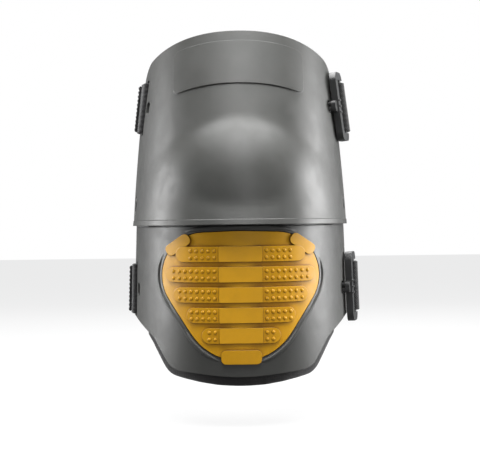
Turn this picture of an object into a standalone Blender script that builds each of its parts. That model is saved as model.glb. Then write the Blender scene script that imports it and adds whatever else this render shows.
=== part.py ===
"""Hinged hard-shell knee pad. All sizes are in millimetres; the meshes are scaled to metres at the end.

+X to the wearer's outer side, -Y to the front, +Z up the leg. The origin is midway between the two knee pivots.
"""
import math

import bmesh
import bpy
import numpy as np
from mathutils import Matrix, Vector

for old in list(bpy.data.objects):
    bpy.data.objects.remove(old)

# ---------------------------------------------------------------- driving sizes
MM = 0.001
HALF_WIDTH = 83.0        # middle plane to the cheek of the thigh shell
CUFF_TAPER = 0.035       # the cuff narrows by this share of the height above the knee
RIM_HEIGHT = 102.0       # pivots to the upper rim, up the thigh
SHIN_LENGTH = 123.5      # pivots to the tip of the tongue
DOME_R = 98.0            # knee dome, about the pivot line
WALL = 2.5               # both shells
FOAM = 11.0              # linings
STRAP_WIDTH = 38.0
STRAP_THICK = 1.8
PIVOT_HOLE_D = 15.0
LEAN = math.radians(19.3)   # the thigh leans back from the shin at rest
INSERT_HALF = 56.0
INSERT_HEIGHT = 90.0
LEG_BACK = 95.0          # back of the thigh, behind the pivots
CALF_BACK = 76.0

# ---------------------------------------------------------------- clearances
RUN = 1.0                # between shells that turn past each other
FIT = 0.4                # between pieces that touch or are held together
SKIN = 0.7               # between a shell and the thin pieces behind it
LINING_GAP = 3.0         # shell to lining: room for patches and flange

# ---------------------------------------------------------------- sizes that follow
DOME_HALF = HALF_WIDTH - 9.0
CUFF_FRONT = DOME_R - 5.5
CUFF_DEPTH = 1.655 * HALF_WIDTH
HOOD_R = DOME_R - WALL - RUN
HOOD_HALF = DOME_HALF - WALL - RUN
SHIN_HALF = HALF_WIDTH - 1.6
SHIN_DEPTH = 1.755 * HALF_WIDTH
SHIN_FRONT = DOME_R - 5.2
SHIN_TAPER = 0.042
SHIN_SLOPE = 0.07
EAR_R = PIVOT_HOLE_D
SHOULDER = EAR_R + RUN
REAR = 13.0              # rear edge of the shin shell
POWER = 2.2
COS, SIN = math.cos(LEAN), math.sin(LEAN)
TO_THIGH = Matrix.Rotation(-LEAN, 4, "X")


# ---------------------------------------------------------------- forms: distance from the origin along each direction
def ellipsoid(d, radius, half):
    return 1 / np.sqrt((d[:, 0] / half) ** 2 + (d[:, 1] ** 2 + d[:, 2] ** 2) / radius**2)


def crossing(inside_value, count, reach=420.0):
    """Distance at which a value that starts below zero crosses it, for each direction."""
    low, high = np.zeros(count), np.full(count, reach)
    for _ in range(36):
        mid = (low + high) / 2
        inside = inside_value(mid) < 0
        low, high = np.where(inside, mid, low), np.where(inside, high, mid)
    return low


def cuff(d, off):
    """Thigh cuff, a rounded-square tube along the thigh, off outwards."""
    y, z = d[:, 1] * COS - d[:, 2] * SIN, d[:, 1] * SIN + d[:, 2] * COS
    depth = CUFF_DEPTH + off
    centre = CUFF_DEPTH - CUFF_FRONT

    def value(r):
        half = HALF_WIDTH - CUFF_TAPER * r * z + off
        return np.abs(r * d[:, 0] / half) ** POWER + np.abs((r * y - centre) / depth) ** POWER - 1

    top = np.where(z > 0.02, (RIM_HEIGHT + 16 + off) / np.maximum(z, 0.02), 1e9)
    low = np.where(z < -0.02, (60 + off) / np.maximum(-z, 0.02), 1e9)
    return np.minimum(np.minimum(crossing(value, len(d)), top), low)


def shin(d, off):
    """Body of the shin shell, widening and leaning back a little downwards, off outwards."""
    depth = SHIN_DEPTH + off

    def value(r):
        down = -r * d[:, 2]
        centre = SHIN_DEPTH - SHIN_FRONT + SHIN_SLOPE * (down - 25)
        half = SHIN_HALF + SHIN_TAPER * down + off
        return np.abs(r * d[:, 0] / half) ** POWER + np.abs((r * d[:, 1] - centre) / depth) ** POWER - 1

    cap = np.where(np.abs(d[:, 2]) > 0.02, (SHIN_LENGTH + 25 + off) / np.maximum(np.abs(d[:, 2]), 0.02), 1e9)
    return np.minimum(crossing(value, len(d)), cap)


def larger(a, b, soft):
    blend = np.clip(soft - np.abs(a - b), 0, None) / soft
    return np.maximum(a, b) + blend**2 * soft / 4


def thigh_form(off):
    return lambda d: larger(cuff(d, off), ellipsoid(d, DOME_R + off, DOME_HALF + off), 3.0)


def cuff_form(off):
    return lambda d: cuff(d, off)


def hood_form(off):
    return lambda d: ellipsoid(d, HOOD_R + off, HOOD_HALF + off)


def shin_form(off):
    return lambda d: shin(d, off)


def lining_form(off):
    """Lining of the shin shell: under the hood above, widening into the body below the shoulder."""

    def radius(d):
        hood, body = ellipsoid(d, HOOD_R + off, HOOD_HALF + off), shin(d, off)
        down = np.clip((-hood * d[:, 2] - SHOULDER - WALL - 3) / 16, 0, 1)
        return hood + down**2 * (3 - 2 * down) * np.maximum(body - hood, 0)

    return radius


def cheek_of_shin(y, z, off=0.0):
    centre = SHIN_DEPTH - SHIN_FRONT + SHIN_SLOPE * (-z - 25)
    depth = abs((y - centre) / (SHIN_DEPTH + off))
    return (SHIN_HALF - SHIN_TAPER * z + off) * (1 - depth**POWER) ** (1 / POWER)


def cheek_of_thigh(y, z, off=0.0):
    along, up = y * COS - z * SIN, y * SIN + z * COS
    depth = abs((along - CUFF_DEPTH + CUFF_FRONT) / (CUFF_DEPTH + off))
    return (HALF_WIDTH - CUFF_TAPER * up + off) * (1 - depth**POWER) ** (1 / POWER)


def front_of_shin(z):
    return -(SHIN_FRONT - SHIN_SLOPE * (-z - 25))


# ---------------------------------------------------------------- tools
def add(name, bm):
    bmesh.ops.recalc_face_normals(bm, faces=bm.faces)
    bmesh.ops.scale(bm, vec=Vector((MM, MM, MM)), verts=bm.verts)
    mesh = bpy.data.meshes.new(name)
    bm.to_mesh(mesh)
    bm.free()
    obj = bpy.data.objects.new(name, mesh)
    bpy.context.scene.collection.objects.link(obj)
    return obj


def star(name, form, around=56, across=28):
    """Closed body whose poles lie on the pivot line."""
    bm = bmesh.new()
    bmesh.ops.create_uvsphere(
        bm, u_segments=around, v_segments=across, radius=1.0, matrix=Matrix.Rotation(math.pi / 2, 4, "Y")
    )
    d = np.array([vert.co for vert in bm.verts])
    d /= np.linalg.norm(d, axis=1)[:, None]
    for vert, place in zip(bm.verts, d * form(d)[:, None]):
        vert.co = place
    bmesh.ops.triangulate(bm, faces=bm.faces)
    return add(name, bm)


def rounded(corners, closed=True, steps=6):
    """Points of a line through (a, b, radius) corners, each rounded with steps + 1 points."""
    points = []
    count = len(corners)
    for i, (a, b, radius) in enumerate(corners):
        here = Vector((a, b))
        if radius <= 0 or (not closed and i in (0, count - 1)):
            points.append(here)
            continue
        before = (Vector(corners[i - 1][:2]) - here).normalized()
        after = (Vector(corners[(i + 1) % count][:2]) - here).normalized()
        half = math.acos(max(-1, min(1, before.dot(after)))) / 2
        reach = radius / math.tan(half)
        centre = here + (before + after).normalized() * radius / math.sin(half)
        start, end = here + before * reach - centre, here + after * reach - centre
        turn = math.atan2(start.x * end.y - start.y * end.x, start.dot(end))
        for step in range(steps + 1):
            angle = turn * step / steps
            cos, sin = math.cos(angle), math.sin(angle)
            points.append(centre + Vector((start.x * cos - start.y * sin, start.x * sin + start.y * cos)))
    return points


def prism(name, points, axis, low, high, turn=None):
    """Outline drawn in the plane across axis (XZ seen from the front for Y, YZ for X, XY for Z)."""
    place = {
        "X": lambda a, b, c: (c, a, b),
        "Y": lambda a, b, c: (a, c, b),
        "Z": lambda a, b, c: (a, b, c),
    }[axis]
    bm = bmesh.new()
    face = bm.faces.new([bm.verts.new(place(p[0], p[1], low)) for p in points])
    moved = bmesh.ops.extrude_face_region(bm, geom=[face])["geom"]
    verts = [item for item in moved if isinstance(item, bmesh.types.BMVert)]
    bmesh.ops.translate(bm, vec=Vector(place(0, 0, high - low)), verts=verts)
    if turn is not None:
        bmesh.ops.transform(bm, matrix=turn, verts=bm.verts)
    return add(name, bm)


def pill(a, b, half_a, half_b, radius, steps=5):
    radius = min(radius, half_a - 0.01, half_b - 0.01)
    return rounded(
        [(a - half_a, b - half_b, radius), (a + half_a, b - half_b, radius), (a + half_a, b + half_b, radius), (a - half_a, b + half_b, radius)],
        steps=steps,
    )


def turned(name, profile, side, steps=32):
    """Round body about the pivot line from (x, radius) points, closed at both ends."""
    bm = bmesh.new()
    verts = [bm.verts.new((x, r, 0)) for x, r in profile]
    edges = [bm.edges.new(pair) for pair in zip(verts, verts[1:] + verts[:1])]
    bmesh.ops.spin(
        bm, geom=verts + edges, cent=(0, 0, 0), axis=(1, 0, 0), angle=2 * math.pi, steps=steps, use_merge=True
    )
    bmesh.ops.remove_doubles(bm, verts=bm.verts, dist=1e-4)
    if side < 0:
        bmesh.ops.scale(bm, vec=Vector((-1, 1, 1)), verts=bm.verts)
    return add(name, bm)


def loft(name, rings, loop=False):
    """Body through rings of points, with closed ends unless it is a loop."""
    bm = bmesh.new()
    made = [[bm.verts.new(p) for p in ring] for ring in rings]
    pairs = list(zip(made, made[1:])) + ([(made[-1], made[0])] if loop else [])
    for first, second in pairs:
        for i in range(len(first)):
            j = (i + 1) % len(first)
            bm.faces.new((first[i], first[j], second[j], second[i]))
    if not loop:
        bm.faces.new(made[0][::-1])
        bm.faces.new(made[-1])
    return add(name, bm)


def combine(obj, *steps):
    """Applies Booleans in turn: ("-", other), ("+", other) or ("&", other). The others are used up."""
    kinds = {"-": "DIFFERENCE", "+": "UNION", "&": "INTERSECT"}
    for kind, other in steps:
        modifier = obj.modifiers.new("cut", "BOOLEAN")
        modifier.operation, modifier.solver, modifier.object = kinds[kind], "EXACT", other
        bpy.context.view_layer.update()
        graph = bpy.context.evaluated_depsgraph_get()
        mesh = bpy.data.meshes.new_from_object(obj.evaluated_get(graph))
        obj.modifiers.clear()
        obj.data = mesh
        bpy.data.objects.remove(other)
    return obj


def join(obj, *others):
    """Adds the faces of the others, each of them a separate body inside the first, turned to make a hollow."""
    bm = bmesh.new()
    bm.from_mesh(obj.data)
    for other in others:
        inner = bmesh.new()
        inner.from_mesh(other.data)
        bmesh.ops.reverse_faces(inner, faces=inner.faces)
        flipped = bpy.data.meshes.new("inner")
        inner.to_mesh(flipped)
        bm.from_mesh(flipped)
        bpy.data.objects.remove(other)
    bm.to_mesh(obj.data)
    bm.free()
    return obj


def layer(name, form, outer, inner, around=56, across=28):
    """Hollow body between two offsets of one form."""
    return join(star(name, form(outer), around, across), star(name + "_in", form(inner), around, across))


def band(name, path_low, path_high, thick):
    """Woven band between a lower and an upper edge line, each a list of (x, y, z)."""
    rings = []
    low, high = [Vector(p) for p in path_low], [Vector(p) for p in path_high]
    for i in range(len(low)):
        ahead = low[min(i + 1, len(low) - 1)] + high[min(i + 1, len(low) - 1)]
        behind = low[max(i - 1, 0)] + high[max(i - 1, 0)]
        up = (high[i] - low[i]).normalized()
        out = (ahead - behind).normalized().cross(up).normalized() * thick / 2
        soft = up * thick * 0.3
        rings.append(
            [
                low[i] - out + soft,
                low[i],
                low[i] + out + soft,
                high[i] + out - soft,
                high[i],
                high[i] - out - soft,
            ]
        )
    return loft(name, rings)


def finish(obj, colour, rough, metal=0.0, angle=35.0, parent=None):
    mesh = obj.data
    mesh.materials.clear()
    material = bpy.data.materials.new(obj.name + "_mat")
    material.use_nodes = True
    shader = material.node_tree.nodes["Principled BSDF"]
    shader.inputs["Base Color"].default_value = (*colour, 1)
    shader.inputs["Roughness"].default_value = rough
    shader.inputs["Metallic"].default_value = metal
    mesh.materials.append(material)
    mesh.shade_smooth()
    mesh.set_sharp_from_angle(angle=math.radians(angle))
    if parent is not None:
        obj.parent = parent
        obj.matrix_parent_inverse = parent.matrix_world.inverted()
    return obj


def joint_empty(name, place, axis=(0, 0, 1)):
    empty = bpy.data.objects.new(name, None)
    empty.rotation_mode = "QUATERNION"
    empty.rotation_quaternion = Vector((0, 0, 1)).rotation_difference(Vector(axis))
    empty.location = Vector(place) * MM
    empty.empty_display_size = 0.02
    bpy.context.scene.collection.objects.link(empty)
    bpy.context.view_layer.update()
    return empty


SHELL, FOAM_COLOUR, WEB, CLIP = (0.13, 0.13, 0.125), (0.03, 0.03, 0.032), (0.015, 0.015, 0.016), (0.012, 0.011, 0.012)
YELLOW = (0.62, 0.29, 0.0)
knee = joint_empty("knee_axis", (0, 0, 0), (1, 0, 0))

# ---------------------------------------------------------------- thigh shell
STRAP_Z = 75.0 * RIM_HEIGHT / 102.0      # middle height of the thigh strap
SHIN_STRAP_Z = -63.0 * SHIN_LENGTH / 123.5
RIM_REAR = 8.0                           # rear edge of the thigh shell at its top
rim_rear_z = (RIM_HEIGHT + SIN * -RIM_REAR) / COS


def thigh_rear(z):
    """Rear edge of the thigh shell at height z."""
    return EAR_R + (RIM_REAR - EAR_R) * z / rim_rear_z


def rim_z(y):
    return (RIM_HEIGHT - y * SIN) / COS


side = rounded(
    [
        (-DOME_R - 40, -EAR_R, 0),
        (EAR_R, -EAR_R, EAR_R),
        (RIM_REAR, rim_rear_z, 22.0),
        (-DOME_R - 40, rim_z(-DOME_R - 40), 0),
    ],
    steps=10,
)
STRIP = 9.0              # shell left between a strap slot and the rear edge
SLOT = 5.0
slot_y = thigh_rear(STRAP_Z) - STRIP - SLOT / 2
post_y = slot_y - SLOT / 2 - 7.0
thigh_shell = combine(layer("thigh_shell", thigh_form, 0.0, -WALL), ("&", prism("side", side, "X", -200, 200)))
plaque = combine(
    layer("plaque", thigh_form, 0.9, -WALL / 2),
    ("&", prism("plate", pill(0, RIM_HEIGHT - 25, 48, 17, 4), "Y", -160, -20, TO_THIGH)),
)
combine(
    thigh_shell,
    ("+", plaque),
    ("-", turned("bore", [(-200, 0), (-200, PIVOT_HOLE_D / 2), (200, PIVOT_HOLE_D / 2), (200, 0)], 1, 40)),
    ("-", prism("slot", pill(slot_y, STRAP_Z, SLOT / 2, STRAP_WIDTH / 2 + 2, 2), "X", -200, -20)),
)
finish(thigh_shell, SHELL, 0.42, parent=knee)

# ---------------------------------------------------------------- shin shell
tongue = rounded(
    [
        (-HALF_WIDTH - 40, 120, 0),
        (-HALF_WIDTH - 40, -0.64 * SHIN_LENGTH, 0),
        (-HALF_WIDTH * 0.985, -0.672 * SHIN_LENGTH, 8),
        (-HALF_WIDTH * 0.775, -0.787 * SHIN_LENGTH, 16),
        (-HALF_WIDTH * 0.615, -0.966 * SHIN_LENGTH, 14),
        (0, -1.006 * SHIN_LENGTH, 220),
        (HALF_WIDTH * 0.615, -0.966 * SHIN_LENGTH, 14),
        (HALF_WIDTH * 0.775, -0.787 * SHIN_LENGTH, 16),
        (HALF_WIDTH * 0.985, -0.672 * SHIN_LENGTH, 8),
        (HALF_WIDTH + 40, -0.64 * SHIN_LENGTH, 0),
        (HALF_WIDTH + 40, 120, 0),
    ]
)


def below_shoulder(extra, rear):
    """Side outline of everything under the shoulder, which passes round the ear."""
    radius = SHOULDER + extra
    last = -math.acos(min(1.0, rear / radius)) if rear < radius else -0.35
    arc = [(radius * math.cos(a), radius * math.sin(a)) for a in np.linspace(-math.pi / 2, last, 9)]
    end = [(rear, arc[-1][1])] if rear > arc[-1][0] + 0.5 else []
    return [(-DOME_R - 60, -radius)] + arc + end + [(rear, -SHIN_LENGTH - 60), (-DOME_R - 60, -SHIN_LENGTH - 60)]


HOOD_TOP = math.radians(56)
hood_top = HOOD_R * math.sin(HOOD_TOP)
outer = combine(
    star("shin_shell", shin_form(0.0)),
    ("&", prism("below", below_shoulder(0, REAR + 20), "X", -200, 200)),
    ("+", star("hood", hood_form(0.0), 54, 26)),
)
inner = combine(
    star("inner", shin_form(-WALL)),
    ("&", prism("below", below_shoulder(WALL, REAR + 40), "X", -220, 220)),
    ("+", star("hood", hood_form(-WALL), 50, 26)),
)
shin_side = rounded(
    [
        (-DOME_R - 60, -SHIN_LENGTH - 50, 0),
        (REAR, -SHIN_LENGTH - 50, 0),
        (REAR, hood_top, 60),
        (-DOME_R - 60, hood_top, 0),
    ],
    steps=10,
)
insert_top = -(SHOULDER + 4.5)
insert_outline_corners = [
    (-1.473 * INSERT_HALF, insert_top - 0.02 * INSERT_HEIGHT, 0.555 * INSERT_HALF),
    (0, insert_top + 0.012 * INSERT_HEIGHT, 2.5 * INSERT_HALF),
    (1.473 * INSERT_HALF, insert_top - 0.02 * INSERT_HEIGHT, 0.555 * INSERT_HALF),
    (0, insert_top - 1.4 * INSERT_HEIGHT, 0.768 * INSERT_HALF),
]
insert_outline = rounded(insert_outline_corners, steps=9)


def grown(points, by):
    """Outline moved outwards by a distance, for a closed outline around the origin of its own middle."""
    out = []
    count = len(points)
    area = sum(points[i - 1].x * points[i].y - points[i].x * points[i - 1].y for i in range(count))
    for i, here in enumerate(points):
        along = points[(i + 1) % count] - points[i - 1]
        normal = Vector((along.y, -along.x)).normalized() * (1 if area > 0 else -1)
        out.append(here + normal * by)
    return out


def on_shin(x, z, off):
    """Point on the shin surface seen at (x, z) from the front, off outwards."""
    centre = SHIN_DEPTH - SHIN_FRONT + SHIN_SLOPE * (-z - 25)
    half, depth = SHIN_HALF - SHIN_TAPER * z, SHIN_DEPTH
    y = centre - depth * (1 - abs(x / half) ** POWER) ** (1 / POWER)
    normal = Vector(
        (
            math.copysign(abs(x / half) ** (POWER - 1) / half, x),
            -(abs((y - centre) / depth) ** (POWER - 1)) / depth,
            0,
        )
    ).normalized()
    return Vector((x, y, z)) + normal * off, normal


def bead(name, outline, first, last, radius, ends=True):
    """Round bead laid on the shin surface along part of an outline."""
    rings = []
    chosen = [outline[i % len(outline)] for i in range(first, last + 1)]
    for i, here in enumerate(chosen):
        place, normal = on_shin(here.x, here.y, -0.35 * radius)
        nxt, _ = on_shin(*chosen[min(i + 1, len(chosen) - 1)], 0)
        prv, _ = on_shin(*chosen[max(i - 1, 0)], 0)
        along = (nxt - prv).normalized()
        cross = along.cross(normal).normalized()
        shrink = 0.55 if ends and i in (0, len(chosen) - 1) else 1.0
        rings.append(
            [
                place + (cross * math.cos(a) + normal * math.sin(a)) * radius * shrink
                for a in np.linspace(0, 2 * math.pi, 10, endpoint=False)
            ]
        )
    return loft(name, rings)


FLANGE = 4.0             # the insert's flange reaches this far behind the window's edge
RIDGE = 1.7
shin_shell = combine(
    outer,
    ("-", inner),
    ("&", prism("rear", shin_side, "X", -200, 200)),
    ("&", prism("tongue", tongue, "Y", -200, 200)),
)
shin_slot_y = REAR - STRIP - SLOT / 2
shin_post_y = shin_slot_y - SLOT / 2 - 9.0
ridge_line = grown(insert_outline, RIDGE + 1.2)
for name, first, last in (("top", 8, 21), ("right", 25, 33), ("left", 36, 44)):
    combine(shin_shell, ("+", bead("ridge_" + name, ridge_line, first, last, RIDGE)))
combine(
    shin_shell,
    ("-", prism("window", grown(insert_outline, FIT), "Y", -160, -22)),
    ("-", turned("bore", [(-200, 0), (-200, 5.6), (200, 5.6), (200, 0)], 1, 32)),
    ("-", prism("slot", pill(shin_slot_y, SHIN_STRAP_Z, SLOT / 2, STRAP_WIDTH / 2 + 2, 2), "X", -200, -20)),
)
finish(shin_shell, SHELL, 0.42)

# ---------------------------------------------------------------- tread insert
flange = combine(
    layer("flange", shin_form, -WALL - SKIN, -WALL - SKIN - 1.2, 48, 24),
    ("&", prism("edge", grown(insert_outline, FLANGE), "Y", -160, -20)),
    ("-", prism("ledge", pill(0, 0, 150, SHOULDER + WALL + SKIN, 1, 1), "Y", -170, -10)),
)
insert_plug = grown(insert_outline, -0.01)
tread_insert = combine(
    layer("tread_insert", shin_form, 0.8, -WALL - SKIN - 1.3, 50, 26),
    ("&", prism("edge", insert_plug, "Y", -160, -20)),
    ("+", flange),
)
RIB_TOP = 2.7
RIB_HEIGHT = 0.122 * INSERT_HEIGHT
PANEL_HALF = 15.5


def insert_half_at(z):
    hits = []
    for i, here in enumerate(insert_outline):
        before = insert_outline[i - 1]
        if (before.y - z) * (here.y - z) < 0:
            t = (z - before.y) / (here.y - before.y)
            hits.append(abs(before.x + t * (here.x - before.x)))
    return min(hits)


rib_heights = [insert_top - INSERT_HEIGHT * share for share in (0.17, 0.331, 0.492, 0.653, 0.814)]
for i, z in enumerate(rib_heights):
    half = min(insert_half_at(z + RIB_HEIGHT / 2), insert_half_at(z - RIB_HEIGHT / 2)) - 2.2
    rib = combine(
        layer("rib", shin_form, RIB_TOP, -0.8, 50, 26),
        ("&", prism("rib_edge", pill(0, z, half, RIB_HEIGHT / 2, RIB_HEIGHT / 2), "Y", -160, -20)),
    )
    face = front_of_shin(z) - RIB_TOP + 1.2
    panel = prism("panel", pill(0, z, PANEL_HALF, RIB_HEIGHT / 2, 0.8, 1), "Y", face, face + 5)
    ahead = prism("ahead", pill(0, z, PANEL_HALF, RIB_HEIGHT, 0.5, 1), "Y", face - 30, face)
    combine(tread_insert, ("+", combine(rib, ("-", ahead), ("+", panel))))
for name, x, z, half_x, half_z, turn in (
    ("tab_left", -0.80, 0.095, 10.0, 4.2, 34), ("tab_right", 0.80, 0.095, 10.0, 4.2, -34), ("tab_low", 0, 0.985, 14.5, 5.0, 0)
):
    z = insert_top - INSERT_HEIGHT * z
    outline = pill(0, 0, half_x, half_z, 3.5)
    cos, sin = math.cos(math.radians(turn)), math.sin(math.radians(turn))
    outline = [Vector((x * INSERT_HALF + p.x * cos - p.y * sin, z + p.x * sin + p.y * cos)) for p in outline]
    tab = combine(
        layer(name, shin_form, 1.9, FIT, 50, 26), ("&", prism("tab_edge", outline, "Y", -160, -20))
    )
    combine(tread_insert, ("+", tab))
finish(tread_insert, YELLOW, 0.5)

# ---------------------------------------------------------------- knee joint: stud, washer and cap on each side
ear_inner = cheek_of_thigh(-11.0, 0.0, -WALL)
ear_outer = cheek_of_thigh(0.0, 0.0)
for side_name, side_sign in (("left", -1), ("right", 1)):
    stud = turned(
        "hinge_stud_" + side_name,
        [
            (HOOD_HALF - WALL - 3.2, 0),
            (HOOD_HALF - WALL - 3.2, 4.8),
            (HOOD_HALF - WALL - 2.7, 5.2),
            (ear_inner + 0.8, 5.2),
            (ear_inner + 0.8, PIVOT_HOLE_D / 2 - FIT),
            (ear_outer - 0.9, PIVOT_HOLE_D / 2 - FIT),
            (ear_outer - 0.3, PIVOT_HOLE_D / 2 - FIT - 0.6),
            (ear_outer - 0.3, 4.2),
            (ear_outer - 2.6, 3.6),
            (ear_outer - 2.6, 0),
        ],
        side_sign,
    )
    finish(stud, (0.03, 0.03, 0.03), 0.4)
    washer = turned(
        "hinge_washer_" + side_name,
        [(HOOD_HALF + FIT, 5.6), (ear_inner - FIT, 5.6), (ear_inner - FIT, 10), (HOOD_HALF + FIT, 10)],
        side_sign,
    )
    finish(washer, (0.05, 0.05, 0.05), 0.5)
    cap = turned(
        "hinge_cap_" + side_name,
        [
            (HOOD_HALF - WALL - 1.0, 5.6),
            (HOOD_HALF - WALL - 1.0, 9.4),
            (HOOD_HALF - WALL - 1.6, 10.0),
            (HOOD_HALF - WALL - 4.6, 10.0),
            (HOOD_HALF - WALL - 5.4, 9.2),
            (HOOD_HALF - WALL - 5.4, 0),
            (HOOD_HALF - WALL - 3.6, 0),
            (HOOD_HALF - WALL - 3.6, 5.6),
        ],
        side_sign,
    )
    finish(cap, (0.04, 0.04, 0.04), 0.5)

# ---------------------------------------------------------------- linings, cushion and hook-and-loop patches
LINING_REAR = 27.0       # linings end this far in front of the rear edges
thigh_lining_side = rounded(
    [
        (-DOME_R - 40, 0.22 * RIM_HEIGHT, 0),
        (thigh_rear(0) - LINING_REAR, 0.22 * RIM_HEIGHT, 0),
        (RIM_REAR - LINING_REAR, rim_z(RIM_REAR - LINING_REAR) - 7, 14),
        (-DOME_R - 40, rim_z(-DOME_R - 40) - 7, 0),
    ]
)
foam_in = -WALL - LINING_GAP - FOAM
thigh_liner = combine(
    layer("thigh_liner", cuff_form, -WALL - LINING_GAP, foam_in, 44, 22),
    ("&", prism("edge", thigh_lining_side, "X", -200, 200)),
    ("-", star("sweep", lambda d: ellipsoid(d, HOOD_R + 2.5, HOOD_HALF + 2.5), 48, 26)),
)
finish(thigh_liner, FOAM_COLOUR, 0.9, parent=knee)

LIP = 9.0                # how far the shin lining shows under the tongue
lip = rounded(
    [
        (-HALF_WIDTH - 40, 120, 0),
        (-HALF_WIDTH - 40, -0.64 * SHIN_LENGTH, 0),
        (-HALF_WIDTH * 0.985, -0.672 * SHIN_LENGTH - 1, 6),
        (-HALF_WIDTH * 0.80, -0.787 * SHIN_LENGTH - 0.5 * LIP, 16),
        (-HALF_WIDTH * 0.64, -0.966 * SHIN_LENGTH - 0.55 * LIP, 14),
        (0, -1.006 * SHIN_LENGTH - 1.05 * LIP, 150),
        (HALF_WIDTH * 0.64, -0.966 * SHIN_LENGTH - 0.55 * LIP, 14),
        (HALF_WIDTH * 0.80, -0.787 * SHIN_LENGTH - 0.5 * LIP, 16),
        (HALF_WIDTH * 0.985, -0.672 * SHIN_LENGTH - 1, 6),
        (HALF_WIDTH + 40, -0.64 * SHIN_LENGTH, 0),
        (HALF_WIDTH + 40, 120, 0),
    ]
)
lining_top = (HOOD_R - WALL) * math.sin(math.radians(46))
shin_lining_side = [
    (-DOME_R - 60, -SHIN_LENGTH - 50),
    (REAR - LINING_REAR, -SHIN_LENGTH - 50),
    (REAR - LINING_REAR, lining_top),
    (-DOME_R - 60, lining_top),
]
shin_liner = combine(
    layer("shin_liner", lining_form, -WALL - LINING_GAP, foam_in, 44, 22),
    ("&", prism("rear", shin_lining_side, "X", -200, 200)),
    ("&", prism("lip", lip, "Y", -200, 200)),
)
finish(shin_liner, FOAM_COLOUR, 0.9)

cushion = combine(
    layer("knee_cushion", lining_form, foam_in - 1.2, foam_in - 9.0, 44, 22),
    ("&", prism("edge", pill(0, -0.52 * SHIN_LENGTH, 0.5 * HALF_WIDTH, 0.29 * SHIN_LENGTH, 18, 8), "Y", -160, -20)),
)
finish(cushion, (0.02, 0.02, 0.022), 0.9)

patch_z = -0.43 * SHIN_LENGTH
patch_rear = REAR - LINING_REAR - 3.0
patch_front = on_shin(INSERT_HALF + FLANGE, patch_z, 0)[0].y + 4.0
patch_half = min(9.0, (patch_rear - patch_front) / 2)
for side_name, side_sign in (("left", -1), ("right", 1)):
    outline = pill(side_sign * 0.42 * HALF_WIDTH, RIM_HEIGHT - 21, 13, 11, 3)
    patch = combine(
        layer("thigh_liner_patch_" + side_name, cuff_form, -WALL - SKIN, -WALL - SKIN - 1.3, 44, 22),
        ("&", prism("edge", outline, "Y", -160, -10, TO_THIGH)),
    )
    finish(patch, WEB, 0.95, parent=knee)
    low, high = sorted((side_sign * 20.0, side_sign * 200.0))
    patch = combine(
        layer("shin_liner_patch_" + side_name, shin_form, -WALL - SKIN, -WALL - SKIN - 1.3, 44, 22),
        ("&", prism("edge", pill(patch_rear - patch_half, patch_z, patch_half, 15, 3), "X", low, high)),
    )
    finish(patch, WEB, 0.95)


# ---------------------------------------------------------------- straps and clips
def strap_line(z, cheek, rear, slot, back, bar, ends):
    """Plan line of a strap at one height: left loop, round the leg, and the fold round the clip's bar."""
    t = STRAP_THICK / 2
    inside = cheek(slot, z, -WALL) - t - FIT
    outside_slot, outside_rear = cheek(slot, z) + t + 0.7, cheek(rear, z) + t + 0.7
    inside_rear = cheek(rear, z, -WALL) - t - FIT
    fold = ends
    left = [
        (-(inside_rear - 0.2), rear + 22, 0),
        (-(inside_rear - 0.2), rear + 4, 8),
        (-(inside - 0.6), slot, 1.6),
        (-(outside_slot + 0.6), slot, 2.2),
        (-(outside_rear + 0.4), rear + 1, 12),
        (-(inside_rear + 2 * t + 0.5), rear + 12, 14),
        (-(inside_rear + 2 * t + 0.4), rear + 26, 30),
    ]
    start_y, half = rear + 30, inside_rear + 2 * t + 0.2
    bx, by = bar
    sweep = []
    for a in np.linspace(0.06, math.pi - 0.06, 21):
        c, s = math.cos(a), math.sin(a)
        width = half if c > 0 else bx - fold
        sweep.append((-math.copysign(abs(c) ** 0.86, c) * width, start_y + (back - start_y) * s**0.86, 0))
    right = [
        (bx - fold, by + 10, 20),
        (bx - fold, by - fold, fold),
        (bx + fold, by - fold, fold),
        (bx + fold, by + 7, 10),
        (bx - fold + 2 * t + 0.5, by + 15, 12),
        (bx - fold + 2 * t + 0.3, by + 27, 0),
    ]
    return [(p.x, p.y, z) for p in rounded(left + sweep + right, closed=False, steps=4)]


BAR_R = 2.2
FOLD = BAR_R + 0.5 + STRAP_THICK / 2
CLIP_THICK = 5.0
STAND_OFF = 4.4          # middle of the clip above the cheek


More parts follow.
